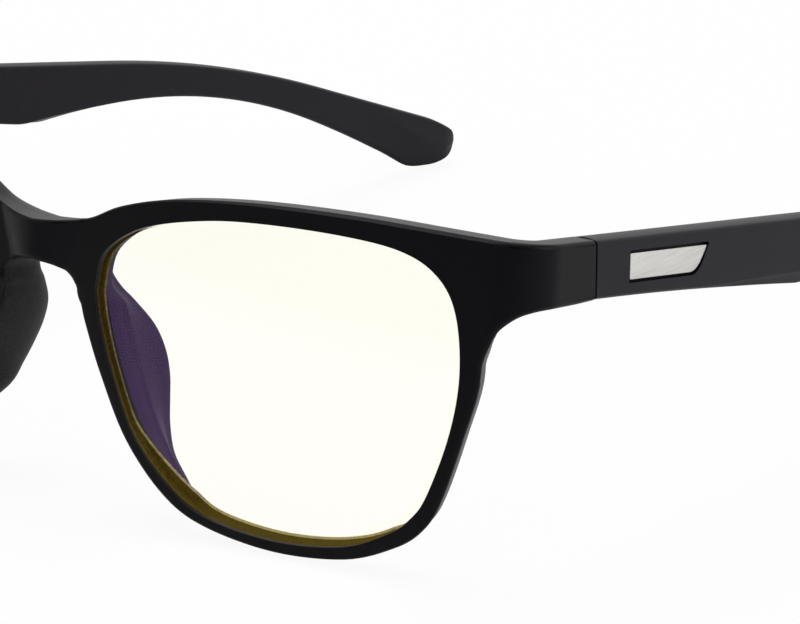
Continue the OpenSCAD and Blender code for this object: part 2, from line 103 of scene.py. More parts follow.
# modelling moves, each with Blender's own tools
def pickOnly(piece):
    bpy.ops.object.select_all(action="DESELECT")
    piece.select_set(True)
    bpy.context.view_layer.objects.active = piece


def startLoop(name, points):
    bpy.ops.object.select_all(action="DESELECT")
    bpy.ops.mesh.primitive_circle_add(vertices=len(points), radius=1)
    piece = bpy.context.active_object
    piece.name = piece.data.name = name
    for vert, point in zip(piece.data.vertices, points):
        vert.co = point
    bpy.ops.object.mode_set(mode="EDIT")
    bpy.ops.mesh.select_mode(type="EDGE")
    bpy.ops.mesh.select_all(action="SELECT")
    return piece


def putSelected(piece, fromPoints, toPoints):
    tree = treeOf(fromPoints)
    mesh = bmesh.from_edit_mesh(piece.data)
    for vert in mesh.verts:
        if vert.select:
            vert.co = toPoints[tree.find(vert.co)[1]]
    bmesh.update_edit_mesh(piece.data)


def pullEdges(piece, fromPoints, toPoints):
    bpy.ops.mesh.extrude_edges_move()
    putSelected(piece, fromPoints, toPoints)


def pullThrough(piece, rings):
    for a, b in zip(rings, rings[1:]):
        pullEdges(piece, a, b)


def loft(name, rings):
    piece = startLoop(name, rings[0])
    pullThrough(piece, rings)
    return piece


def pickEdges(piece, points, closed=False):
    bpy.ops.mesh.select_all(action="DESELECT")
    mesh = bmesh.from_edit_mesh(piece.data)
    mesh.verts.ensure_lookup_table()
    tree = treeOf([vert.co for vert in mesh.verts])
    chain = [mesh.verts[tree.find(point)[1]] for point in points]
    for a, b in zip(chain, chain[1:] + ([chain[0]] if closed else [])):
        edge = mesh.edges.get((a, b)) if a != b else None
        if edge:
            edge.select_set(True)
    mesh.select_flush_mode()
    bmesh.update_edit_mesh(piece.data)


def closeEnds(piece, rings):
    for ring in (rings[0], rings[-1]):
        pickEdges(piece, ring, closed=True)
        bpy.ops.mesh.edge_face_add()


def finishMesh(piece, place, merge=0.002):
    bpy.ops.mesh.select_all(action="SELECT")
    bpy.ops.mesh.remove_doubles(threshold=merge)
    bpy.ops.mesh.normals_make_consistent(inside=False)
    bpy.ops.object.mode_set(mode="OBJECT")
    for vert in piece.data.vertices:
        vert.co = place(*vert.co)
    pickOnly(piece)


def smoothShade(piece, degrees):
    pickOnly(piece)
    bpy.ops.object.shade_smooth_by_angle(angle=math.radians(degrees))


def otherSide(piece, name):
    pickOnly(piece)
    bpy.ops.object.duplicate()
    copy = bpy.context.active_object
    copy.name = copy.data.name = name
    for vert in copy.data.vertices:
        vert.co.x = -vert.co.x
    bpy.ops.object.mode_set(mode="EDIT")
    bpy.ops.mesh.select_all(action="SELECT")
    bpy.ops.mesh.flip_normals()
    bpy.ops.object.mode_set(mode="OBJECT")
    return copy


def cutWith(piece, cutters):
    for cutter in cutters:
        pickOnly(piece)
        cut = piece.modifiers.new("cut", "BOOLEAN")
        cut.operation = "DIFFERENCE"
        cut.solver = "EXACT"
        cut.object = cutter
        bpy.ops.object.modifier_apply(modifier=cut.name)
        bpy.data.objects.remove(cutter)


# the lens outline: share of width, share of height, rim width there
lensShape = {
    "left": 9.3, "foot": 1.15, "width": 53.1, "height": 39.2, "steps": 8,
    "thick": 2.0, "curve": 170, "bulge": 0.4, "fit": 0.012,
    "shrink": [1, 0.985, 0.95, 0.88, 0.78, 0.66, 0.52, 0.38, 0.25, 0.13, 0.04],
    "ridge": [(0, 1.02), (0.4, 1.5), (-0.06, 1.98)], "frontBreak": (0.1, 0.08), "facetDeep": 0.22,
    "knots": [
        (0.680, 1.000, 1.95), (0.834, 0.985, 1.95), (0.926, 0.929, 2.30), (0.977, 0.824, 2.50),
        (0.997, 0.640, 2.62), (0.982, 0.449, 1.76), (0.938, 0.249, 1.86), (0.901, 0.164, 2.02),
        (0.845, 0.100, 1.88), (0.731, 0.030, 1.62), (0.550, 0.001, 1.44), (0.362, 0.027, 1.34),
        (0.252, 0.097, 1.58), (0.139, 0.237, 1.48), (0.063, 0.429, 1.95), (0.021, 0.571, 2.38),
        (0.009, 0.630, 2.64), (0.004, 0.686, 3.20), (0.026, 0.801, 2.80), (0.132, 0.901, 2.60),
        (0.301, 0.962, 1.95), (0.467, 0.990, 1.95)],
}

frontShape = {
    "depth": 4.2, "sideDepth": 3.6, "faceRadius": 296, "lean": math.radians(3.3),
    "sideX": 70.1, "sideY": 22.156, "splay": math.radians(2.83), "cornerRadius": 6.8,
    "top": 43.05, "underSplit": 35.6,
    "nasalDraft": 1.3, "nasalHeights": (30.5, 24.5), "nasalReach": (23, 15),
    "nasalDeep": 2.0, "deepHeights": (28.6, 25), "deepReach": (26, 15),
    "chamfer": 0.42, "bridgeChamfer": 0.2, "softEdge": 0.6, "backRound": 0.42,
    "draft": 0.95, "draftFrom": (36, 54), "draftTo": (74, 70.5), "draftHeights": (34.6, 32),
    "bridgeColumns": 24, "endColumns": 44, "bridgeKnot": 17, "bridgeTo": 9.6, "endFrom": 61.6, "rimTo": 27.9,
    "bow": 1.6, "bowTop": 6.4, "bowLow": 4.1, "bowFoot": 28.5, "bowTall": 6.5, "bowPower": 1.75,
    # the rim's opening, wider behind the lens save beside the nose: outward step, depth, how much less there
    "hole": [(0.05, 0.0, 0), (0.01, 0.05, 0), (0.0, 0.12, 0), (0.0, 1.0, 0), (0.48, 1.5, 0), (0.0, 2.0, 0),
             (0.3, 2.62, 0.25)],
    "holeBack": [(0.35, 0.3, 0.3), (0.42, 0.08, 0.3), (0.6, 0, 0.3)],   # here depth is short of the back
    "brow": [(0, 35.1), (3.906, 35.5), (8.2, 36.5), (13.017, 38.75), (20.717, 40.8), (32.505, 42.3),
             (46.576, 43.02), (60.01, 43.06), (72.1, 43.05), (90, 43.05)],
    "arch": [(6.08, 27.65), (5.6, 28.24), (5.0, 28.72), (4.0, 29.2), (2.48, 29.64), (0, 29.9)],
    "under": [(65.6, 28.6), (65.98, 29.6), (66.38, 30.5), (66.84, 31.5), (67.46, 32.36), (68.67, 33.39),
              (69.89, 34.14), (71.18, 34.6), (72.6, 34.93), (74.3, 35.12), (76.4, 35.23), (79.6, 35.36)],
}

hingeShape = {
    "x": 65.7553, "y": 19.6852, "z": 39.2, "rake": math.radians(9.3), "gap": 0.34,
    "outer": 4.35, "inner": 0.75, "pocket": ((-2, -6.65, -2.85), (1.6, 6.65, 2.85)),
}


def fromHinge(x, y, z):
    c, s = math.cos(frontShape["splay"]), math.sin(frontShape["splay"])
    return hingeShape["x"] + x * c - y * s, hingeShape["y"] + x * s + y * c, hingeShape["z"] + z


def toHinge(x, y, z):
    c, s = math.cos(frontShape["splay"]), math.sin(frontShape["splay"])
    dx, dy = x - hingeShape["x"], y - hingeShape["y"]
    return dx * c + dy * s, dy * c - dx * s, z - hingeShape["z"]


def placeArm(x, y, z):
    return stand(*fromHinge(x, y, z))


def splitAt(z, side):
    r = hingeShape["rake"]
    return (side * hingeShape["gap"] / 2 - z * math.sin(r)) / math.cos(r)


# the front's line in plan, by its length from the bridge: face curve, rounded corner, straight side
def makePlan():
    f = frontShape
    a, r, big = f["splay"], f["cornerRadius"], f["faceRadius"]
    along, out = (-math.sin(a), math.cos(a)), (math.cos(a), math.sin(a))
    q = (f["sideX"] - r * out[0], f["sideY"] - r * out[1] - big)
    half = q[0] * along[0] + q[1] * along[1]
    t = -half - math.sqrt(half * half - (q[0] ** 2 + q[1] ** 2) + (big - r) ** 2)
    corner = (q[0] + t * along[0], q[1] + t * along[1] + big)
    x1 = big * corner[0] / (big - r)
    angle1 = math.atan2(corner[1] - big, corner[0])
    s1 = big * math.asin(x1 / big)
    return {"corner": corner, "angle": angle1, "s1": s1, "s2": s1 + r * (a - angle1), "x1": x1}


plan = makePlan()


def planAt(s):
    f = frontShape
    big, r = f["faceRadius"], f["cornerRadius"]
    if s <= plan["s1"]:
        a = s / big
        return (big * math.sin(a), big - big * math.cos(a)), (-math.sin(a), math.cos(a))
    if s <= plan["s2"]:
        a = plan["angle"] + (s - plan["s1"]) / r
    else:
        a = f["splay"]
    out = (math.cos(a), math.sin(a))
    more = max(0, s - plan["s2"])
    return ((plan["corner"][0] + r * out[0] - more * out[1], plan["corner"][1] + r * out[1] + more * out[0]),
            (-out[0], -out[1]))


def lengthTo(x):
    if x <= plan["x1"]:
        return frontShape["faceRadius"] * math.asin(x / frontShape["faceRadius"])
    part = min(1, (x - plan["corner"][0]) / frontShape["cornerRadius"])
    return plan["s1"] + frontShape["cornerRadius"] * (-math.acos(part) - plan["angle"])


def wornFront(s, d, z):
    (px, py), (nx, ny) = planAt(abs(s))
    x, y = px + nx * d, py + ny * d
    lean = frontShape["lean"]
    up = (z - y * math.sin(lean)) / math.cos(lean)
    return x, y * math.cos(lean) - up * math.sin(lean), z


def splitLength(z):
    s0, s1 = plan["s2"], plan["s2"] + 20
    y0, y1 = toHinge(*wornFront(s0, 0, z))[1], toHinge(*wornFront(s1, 0, z))[1]
    return s0 + (s1 - s0) * (splitAt(z - hingeShape["z"], -1) - y0) / (y1 - y0)


def placeFront(s, d, z):
    x, y, z = wornFront(s, d, z)
    if abs(s) > plan["s2"] and abs(s) > splitLength(z) - 0.01:   # the end face lies in the raked split
        xh, _, zh = toHinge(x, y, z)
        x, y, z = fromHinge(xh, splitAt(zh, -1), zh)
    return stand(math.copysign(x, s), y, z)


def outlineNormals(points, closed):
    out, n = [], len(points)
    for i in range(n):
        a = points[i - 1] if closed else points[max(i - 1, 0)]
        b = points[(i + 1) % n] if closed else points[min(i + 1, n - 1)]
        size = math.dist(a, b)
        out.append(((a[1] - b[1]) / size, (b[0] - a[0]) / size))
    return out


lensCurve = [(lengthTo(lensShape["left"] + w * lensShape["width"]),
              lensShape["foot"] + h * lensShape["height"], rim)
             for w, h, rim in closedCurve(lensShape["knots"], lensShape["steps"])]
lip = [(s, z) for s, z, rim in lensCurve]
lipNormal = outlineNormals(lip, True)


def moved(points, normals, by):
    return [(p[0] + n[0] * by, p[1] + n[1] * by) for p, n in zip(points, normals)]


def atDepth(points, d):
    return [(p[0], d, p[1]) for p in points]


def sheetDepth(s):
    f = frontShape
    return f["depth"] + (f["sideDepth"] - f["depth"]) * smooth(plan["s1"] - 3, plan["s2"] - 1, abs(s))


# the bridge's face bows forward between the rims, with a crease on each side
def bowAt(s, z):
    f = frontShape
    half = f["bowLow"] + (f["bowTop"] - f["bowLow"]) * (z - f["bowFoot"]) / f["bowTall"]
    return -f["bow"] * max(0, 1 - abs(s / half) ** f["bowPower"]) if half > 1 else 0


# the rims are deeper beside the nose, and their flanks lean towards it
def nasalDeep(s, z):
    f = frontShape
    return f["nasalDeep"] * smooth(*f["deepHeights"], z) * smooth(*f["deepReach"], abs(s))


def nasalDraft(s, z):
    f = frontShape
    return f["nasalDraft"] * smooth(*f["nasalHeights"], z) * smooth(*f["nasalReach"], s)


def onFace(points):
    return [(s, bowAt(s, z), z) for s, z in points]


# a four-sided patch between its borders: columns run from the gate to the far side
def patch(top, bottom, gate, far):
    columns, k = [], len(top) - 1
    m = len(gate) - 1
    for i in range(k + 1):
        u, column = i / k, []
        for j in range(m + 1):
            v = j / m
            column.append(tuple(
                (1 - v) * top[i][c] + v * bottom[i][c] + (1 - u) * gate[j][c] + u * far[j][c]
                - (1 - u) * (1 - v) * gate[0][c] - u * (1 - v) * far[0][c]
                - (1 - u) * v * gate[m][c] - u * v * far[m][c] for c in (0, 1)))
        columns.append(column)
    return columns


def line(a, b, count):
    return [tuple(p + (q - p) * i / (count - 1) for p, q in zip(a, b)) for i in range(count)]


def makeFront():
    f = frontShape
    n = len(lip)
    browLine = [(lengthTo(x) if x < 70 else x + 20, z) for x, z in openCurve(f["brow"], 12)]

    def browHit(j):
        (s, z), (ns, nz) = lip[j], lipNormal[j]
        low, high = 0, 14
        for step in range(40):
            mid = (low + high) / 2
            if z + nz * mid > heightOn(browLine, s + ns * mid):
                high = mid
            else:
                low = mid
        return s + ns * low, z + nz * low

    rimOuter = [(p[0] + m[0] * c[2], p[1] + m[1] * c[2]) for p, m, c in zip(lip, lipNormal, lensCurve)]
    # samples of the rim at which the bridge and the end piece start
    bridgeLow = f["bridgeKnot"] * lensShape["steps"] - 2
    bridgeTop = next(j for j in range(bridgeLow + 6, n)
                     if lipNormal[j][1] > 0.3 and f["bridgeTo"] < browHit(j)[0] < 20)
    endTop = max(j for j in range(0, 30) if browHit(j)[0] < f["endFrom"])
    endLow = next(j for j in range(22, 44) if rimOuter[j][1] < f["rimTo"])
    # the end piece's underside, from the outer rim round the corner to the split
    splitLow = (splitLength(f["underSplit"]), f["underSplit"])
    under = openCurve([rimOuter[endLow + 3], rimOuter[endLow]] + f["under"] + [splitLow], 8)[8:]

    rowsEnd, rowsBridge = endLow - endTop + 1, bridgeTop - bridgeLow + 1
    endBottom = resample(under, f["endColumns"] + 1)
    topStart = browHit(endTop)
    topEnd = (splitLength(f["top"]), f["top"])
    endTopRow = [(s, f["top"]) for s, z in line(topStart, topEnd, f["endColumns"] + 1)]
    endTopRow[0] = topStart
    split = [(splitLength(z), z) for x, z in line((0, f["top"]), (0, f["underSplit"]), rowsEnd)]
    bridgeTopRow = [(s, heightOn(browLine, s))
                    for s, z in line(browHit(bridgeTop), (0, 0), f["bridgeColumns"] + 1)]
    archCurve = openCurve([rimOuter[bridgeLow - 4], rimOuter[bridgeLow]] + f["arch"], 12)[12:]
    bridgeBottomRow = resample(archCurve, f["bridgeColumns"] + 1)

    # the whole outer contour of the left half, from the bridge's top round to its underside
    contour, kind = [], []
    browSamples = list(range(bridgeTop + 1, n)) + list(range(0, endTop + 1))
    for part, points in (
            ("bridge", bridgeTopRow[::-1]), ("rim", [browHit(j) for j in browSamples]), ("end", endTopRow[1:]),
            ("split", split[1:]), ("end", endBottom[::-1][1:]),
            ("rim", [rimOuter[j] for j in range(endLow + 1, bridgeLow + 1)]), ("bridge", bridgeBottomRow[1:])):
        contour += points
        kind += [part] * len(points)
    normals = outlineNormals(contour, False)
    normals[0], normals[-1] = (0, 1), (0, -1)
    firstSplit, lastSplit = kind.index("split") - 1, len(kind) - 1 - kind[::-1].index("split")
    for i in range(firstSplit, lastSplit + 1):
        normals[i] = (0, 0)
    normals[firstSplit], normals[lastSplit] = (0, 1), (0, -1)
    for i in range(len(contour)):
        if contour[i][0] < 1e-6:
            normals[i] = (0, normals[i][1])

    def draftOf(s, z):
        grow = 1 - 0.07 * smooth(27.5, 28.4, z) + 0.22 * smooth(28.8, 30.2, z)
        return (f["draft"] * grow * smooth(*f["draftFrom"], s) * smooth(*f["draftTo"], s)
                * smooth(*f["draftHeights"], z))

    # the front edge: a crisp chamfer along the brow, a soft round on the sides and below
    def edgeAt(step):
        out = []
        a = math.pi / 2 * step / 5
        for (s, z), (ns, nz) in zip(contour, normals):
            soft = max(smooth(plan["s1"] - 2, plan["s2"], s), smooth(0.3, -0.3, nz) * smooth(0, 7, 36 - z))
            flat = f["bridgeChamfer"] + (f["chamfer"] - f["bridgeChamfer"]) * smooth(14, 45, s)
            size = flat + (f["softEdge"] - flat) * soft
            plain = 1 - min(1, max(0, 1.12 * step / 5 - 0.06))
            by = size * (plain + (1 - math.sin(a) - plain) * soft)
            depth = size * (1 - plain + (plain - math.cos(a)) * soft) if 0 < step < 5 else size * (step == 5)
            out.append((s - ns * by, depth + bowAt(s, z), z - nz * by))
        return out

    def wallAt(depth, inset, drafted, nasal, deeper=1):
        out = []
        for (s, z), (ns, nz) in zip(contour, normals):
            by = inset + drafted * draftOf(s, z) - nasal * nasalDraft(s, z)
            out.append((s - ns * by, depth - f["depth"] + sheetDepth(s) + deeper * nasalDeep(s, z), z - nz * by))
        return out

    deep, back = f["depth"], f["backRound"]
    rings = [edgeAt(step) for step in range(6)] + [
        wallAt(1.6, 0, 0.3, 0.3, 0), wallAt(2.6, 0, 0.6, 0.45, 0), wallAt(deep - back, 0, 0.9, 0.2),
        wallAt(deep - back * 0.3, back * 0.3, 0.97, 0.15), wallAt(deep, back, 1, 0.1)]
    inset = [(p[0], p[2]) for p in rings[0]]

    # front face: ring round the lens, bridge half and end piece
    holeRings = []
    for by, d, nasal in f["hole"] + [(by, deep - short, nasal) for by, short, nasal in f["holeBack"]]:
        ring = []
        for (s, z), (ns, nz) in zip(lip, lipNormal):
            out = by - nasal * smooth(0.3, 0.8, -ns) * smooth(28, 25.5, z)
            s, z = s + ns * out, z + nz * out
            ring.append((s, d + (nasalDeep(s, z) if d > 3 else 0), z))
        holeRings.append(ring)
    firstRim = len(bridgeTopRow)
    browIndex = {j: firstRim + i for i, j in enumerate(browSamples)}
    lowStart = lastSplit + len(endBottom)
    rimIndex = {j: lowStart + i for i, j in enumerate(range(endLow + 1, bridgeLow + 1))}
    gateTop, gateLow = inset[firstRim - 1], inset[rimIndex[bridgeLow]]
    bridgeGate = line(gateTop, gateLow, rowsBridge)
    endGate = line(inset[browIndex[endTop]], inset[lowStart - 1], rowsEnd)
    outer = [None] * n
    for j in range(n):
        if j in browIndex:
            outer[j] = inset[browIndex[j]]
        elif j in rimIndex:
            outer[j] = inset[rimIndex[j]]
    for i in range(rowsBridge):
        outer[bridgeTop - i] = bridgeGate[i]
    for i in range(rowsEnd):
        outer[endTop + i] = endGate[i]
    bridgeFar = line(inset[0], inset[-1], rowsBridge)
    bridge = patch([inset[firstRim - 1 - k] for k in range(firstRim)],
                   [inset[rimIndex[bridgeLow] + k] for k in range(firstRim)], bridgeGate, bridgeFar)
    endFirst = browIndex[endTop]
    end = patch([inset[endFirst + k] for k in range(len(endTopRow))],
                [inset[lowStart - 1 - k] for k in range(len(endBottom))], endGate,
                [inset[firstSplit + m] for m in range(rowsEnd)])

    front = startLoop("frameFront", holeRings[0])
    pullEdges(front, holeRings[0], onFace(outer))
    for columns in (bridge, end):
        columns = [onFace(column) for column in columns]
        pickEdges(front, columns[0])
        pullThrough(front, columns)
    # the back face is the same net, moved to the back contour
    net = holeRings[0] + onFace(outer) + [p for c in bridge + end for p in onFace(c)]
    backNet = []
    tree = treeOf(rings[0])
    for i, point in enumerate(net):
        index, gap = tree.find(point)[1:]
        if gap < 1e-5:
            backNet.append(rings[-1][index])
        elif i < n:
            backNet.append(holeRings[-1][i])
        else:   # points close to the edge follow it
            share = max(0, 1 - gap / 4)
            s, z = (point[c] + share * (rings[-1][index][c] - rings[0][index][c]) for c in (0, 2))
            backNet.append((s, sheetDepth(s) + nasalDeep(s, z), z))
    bpy.ops.mesh.select_all(action="SELECT")
    bpy.ops.mesh.duplicate()
    putSelected(front, net, backNet)
    for loops, closed in ((rings, False), (holeRings, True)):
        pickEdges(front, loops[0], closed)
        pullThrough(front, loops)
    bpy.ops.mesh.select_all(action="SELECT")
    bpy.ops.mesh.remove_doubles(threshold=0.002)
    bpy.ops.object.mode_set(mode="OBJECT")
    mirror = front.modifiers.new("halves", "MIRROR")
    mirror.merge_threshold = 0.003
    bpy.ops.object.modifier_apply(modifier=mirror.name)
    bpy.ops.object.mode_set(mode="EDIT")
    finishMesh(front, placeFront)
    print("front:", len(front.data.polygons), "faces; gates", bridgeTop, endTop, endLow)
    return front


# a lens: front curve, ground edge with its ridge, back curve
def lensFront(s, z):
    p = lensShape
    midS, midZ = lengthTo(p["left"] + p["width"] / 2), p["foot"] + p["height"] / 2
    ds, dz = s - midS, z - midZ
    return -p["bulge"] + (ds * ds + dz * dz) / (2 * p["curve"]) - ds * ds / (2 * frontShape["faceRadius"])


def makeLens(side):
    p = lensShape
    mid = (lengthTo(p["left"] + p["width"] / 2), p["foot"] + p["height"] / 2)
    edge = moved(lip, lipNormal, -p["fit"])

    def skin(points, part, add):
        out = []
        for s, z in points:
            s, z = mid[0] + (s - mid[0]) * part, mid[1] + (z - mid[1]) * part
            out.append((s, lensFront(s, z) + add, z))
        return out

    inner = moved(edge, lipNormal, -p["frontBreak"][0])
    # the ground rear edge is wider below, and the front coating starts inside it
    wide = [0.1 + 0.88 * smooth(0.45, 0.95, -nz) * (1 + 0.7 * smooth(0.15, 0.5, -ns))
            * (1 - 0.6 * smooth(0.25, 0.75, ns)) - 0.3 * smooth(0.3, 0.8, nz) for ns, nz in lipNormal]
    facet = [0.13 + 0.17 * smooth(0.3, 0.9, -nz) for ns, nz in lipNormal]
    band = [0.25 + 1.35 * max(0, -ns) + 1.2 * max(0, -nz) for ns, nz in lipNormal]

    def inward(points, widths, sign=1):
        return [(s - sign * ns * w, z - sign * nz * w) for (s, z), (ns, nz), w in zip(points, lipNormal, widths)]

    rearEdge = inward(edge, wide)
    facetEdge = inward(rearEdge, facet, -1)
    coatEdge = inward(edge, band)
    rings = [skin(inner, k, 0) for k in p["shrink"][:2:-1]]
    coatRing = len(rings)
    rings += [skin(coatEdge, 1, 0), skin(inner, 1, 0)]
    rings.append([(s, lensFront(s, z) + p["frontBreak"][1], z) for s, z in edge])
    for by, d in p["ridge"]:
        rings.append(atDepth(moved(edge, lipNormal, by), d))
    rings.append([(s, lensFront(s, z) + p["thick"] - p["facetDeep"], z) for s, z in facetEdge])
    facetRing = len(rings)
    rings.append([(s, lensFront(s, z) + p["thick"], z) for s, z in rearEdge])
    rings += [skin(rearEdge, k, p["thick"]) for k in p["shrink"][1:]]
    lens = loft("lens" + side, rings)
    for ring in (rings[0], rings[-1]):
        pickEdges(lens, ring, True)
        bpy.ops.mesh.merge(type="CENTER")
    bpy.ops.object.mode_set(mode="OBJECT")
    parts = []   # 0 bare glass, 1 the ground edge, 2 its rear facet, 3 the coated front
    tree = treeOf([point for ring in rings for point in ring])
    for face in lens.data.polygons:
        k = max(tree.find(lens.data.vertices[v].co)[1] // len(edge) for v in face.vertices)
        parts.append(3 if k <= coatRing else 2 if k == facetRing else 1 if coatRing + 2 < k < facetRing else 0)
    bpy.ops.object.mode_set(mode="EDIT")
    finishMesh(lens, placeFront)
    lens.data.materials.clear()
    for finish in (lensClear, lensEdge, lensFacet, lensCoated):
        lens.data.materials.append(finish)
    for face, part in zip(lens.data.polygons, parts):
        face.material_index = part
    return lens


# a saddle pad behind the nasal rim: height, place and depth of its rear edge
padShape = {
    "round": 0.62, "root": 0.03, "front": 2.4, "proud": 0.05, "first": 88, "lastRim": 134, "last": 147,
    "archEnd": (31, 4.6),
    "rear": [(3.2, 23.9, 5.0), (5, 20.5, 7.0), (7.5, 16.85, 8.8), (10.5, 14.3, 10.8), (13.5, 13.2, 11.85),
             (16.5, 12.2, 12.76), (19.5, 11.0, 13.02), (22.5, 9.6, 12.2), (25.5, 8.06, 9.8),
             (27, 7.34, 8.25), (28.5, 6.7, 7.2), (30, 6.4, 6.5)],
    "cap": [(30.35, 6.4, 6.3, 0.8), (30.55, 6.5, 6.1, 0.45)],
}


def bezier(a, b, c, d, count):
    out = []
    for i in range(count):
        t = i / (count - 1)
        out.append(tuple((1 - t) ** 3 * p + 3 * t * (1 - t) ** 2 * q + 3 * t * t * (1 - t) * r + t ** 3 * w
                         for p, q, r, w in zip(a, b, c, d)))
    return out


def makePad(side):
    p, f = padShape, frontShape
    inside = sorted((lip[j][1], lip[j][0]) for j in range(p["first"], p["last"]))
    outside = sorted((lip[j][1] + lipNormal[j][1] * lensCurve[j][2],
                      lip[j][0] + lipNormal[j][0] * lensCurve[j][2]) for j in range(p["first"], p["lastRim"]))
    outside += [(z, s) for s, z in f["arch"][:4]] + [p["archEnd"]]
    rings = []
    for z, x, deep, part in [(*k, 1) for k in openCurve(p["rear"], 5)] + p["cap"]:
        inner, outer = heightOn(inside, z) + 0.1 - 0.9 * smooth(25, 28.5, z), heightOn(outside, z)
        root = min(f["depth"] + p["root"] + nasalDeep(inner, z), deep - 0.5)
        flank = min(p["front"], root)
        bulge = nasalDraft(outer, z)
        lead = [(outer - 0.02, 0.72), (outer - 0.04 - 0.24 * bulge, 1.4), (outer - 0.05 - 0.35 * bulge, 2)]
        outer -= p["proud"] + 0.42 * bulge
        r = min(p["round"], (deep - root) * 0.4)
        core = deep - r
        push = (core - root) * 0.4
        turn = (x - 0.78 * r, core + 0.62 * r)
        reach = math.dist((outer, flank), turn)
        nasal = bezier((outer, flank), (outer - 0.14 * reach * 0.4, flank + 0.4 * reach),
                       (turn[0] - 0.62 * reach * 0.36, turn[1] - 0.78 * reach * 0.36), turn, 12)
        tail = [(x + r * math.cos(math.radians(a)), core + r * math.sin(math.radians(a)))
                for a in (120, 98, 76, 54, 30)]
        lensSide = bezier((x + r, core), (x + r, core - push), (inner - 0.3, root + push * 0.7), (inner, root), 8)
        mid = (inner + outer) / 2
        rings.append([(mid + (s - mid) * part, root + (d - root) * part, z)
                      for s, d in lead + nasal + tail + lensSide])
    pad = loft("nosePad" + side, rings)
    closeEnds(pad, rings)
    finishMesh(pad, placeFront)
    return pad


# a temple, section by section from the split to the tip
templeShape = {
    "top": 3.95, "height": 7.4, "elbow": 45.2, "elbowHeight": 8.7, "outerElbow": 50.5, "outerHeight": 8.9,
    "waist": 89.3, "waistHeight": 4.6, "bend": 63.7, "bendRadius": 227, "bendAngle": math.radians(11.5),
    "tip": 131.3, "tipHeight": 8.3, "length": 142.9, "tipThick": 3.1, "crown": 0.12, "topRound": 0.58,
    "edgeRound": 0.36, "facetStart": 28, "facetTall": 1.45, "facetRear": 0.5, "rear": (88, 112), "tipRound": 3.2,
    "elbowStations": [41.5, 43, 44.2, 45.2, 46.2, 47.2, 48.3, 49.4, 50.5, 51.6, 52.8],
    "tipStations": [123.5, 125, 126.8, 128.4, 129.8, 131, 132, 133, 134, 135, 136.2, 137.4, 138.4, 139.2, 139.9,
                    140.5, 141.1, 141.6, 142, 142.3, 142.55, 142.74, 142.86],
    "tipUnder": [(123, -10.45), (125, -11.16), (127.3, -12.0), (129.8, -13.0), (131.1, -13.48), (132.3, -13.78),
                 (133.6, -13.9), (134.8, -13.9), (137.2, -13.76), (138.4, -13.63), (139.6, -13.38),
                 (140.9, -12.98), (141.8, -12.42), (142.4, -11.63), (142.78, -10.6), (142.9, -9.7)],
    "tipOver": [(134, -5.7), (136, -6.11), (137.3, -6.42), (138.6, -6.8), (139.6, -7.12), (140.4, -7.42),
                (141.3, -7.75), (142.1, -8.15), (142.6, -8.65), (142.84, -9.2), (142.9, -9.7)],
}
tipOver, tipUnder = openCurve(templeShape["tipOver"], 8), openCurve(templeShape["tipUnder"], 8)


def templeTop(y):
    t = templeShape
    if y > 135:
        return heightOn(tipOver, y)
    bendEnd = t["bend"] + t["bendRadius"] * math.sin(t["bendAngle"])
    if y < t["bend"]:
        return t["top"]
    if y < bendEnd:
        return t["top"] - t["bendRadius"] + math.sqrt(t["bendRadius"] ** 2 - (y - t["bend"]) ** 2)
    return (t["top"] - t["bendRadius"] * (1 - math.cos(t["bendAngle"]))
            - (y - bendEnd) * math.tan(t["bendAngle"]))


def templeLow(y, elbow, elbowHeight):
    if y < 60:   # the elbow is eased over a few millimetres
        return sum(templeUnder(y + k * 0.7, elbow, elbowHeight) for k in (-2, -1, 0, 1, 2)) / 5
    return templeUnder(y, elbow, elbowHeight)


def templeUnder(y, elbow, elbowHeight):
    t = templeShape
    if y > 124:
        return heightOn(tipUnder, y)
    if y < elbow:
        tall = t["height"] + (elbowHeight - t["height"]) * (max(y, 0) / elbow) ** 2
    elif y < t["waist"]:
        along = (t["waist"] - y) / (t["waist"] - elbow)
        tall = t["waistHeight"] + (elbowHeight - t["waistHeight"]) * along ** 2
    else:
        along = (y - t["waist"]) / (t["tip"] - t["waist"])
        tall = t["waistHeight"] + (t["tipHeight"] - t["waistHeight"]) * along ** 2
    return templeTop(y) - tall - 0.05


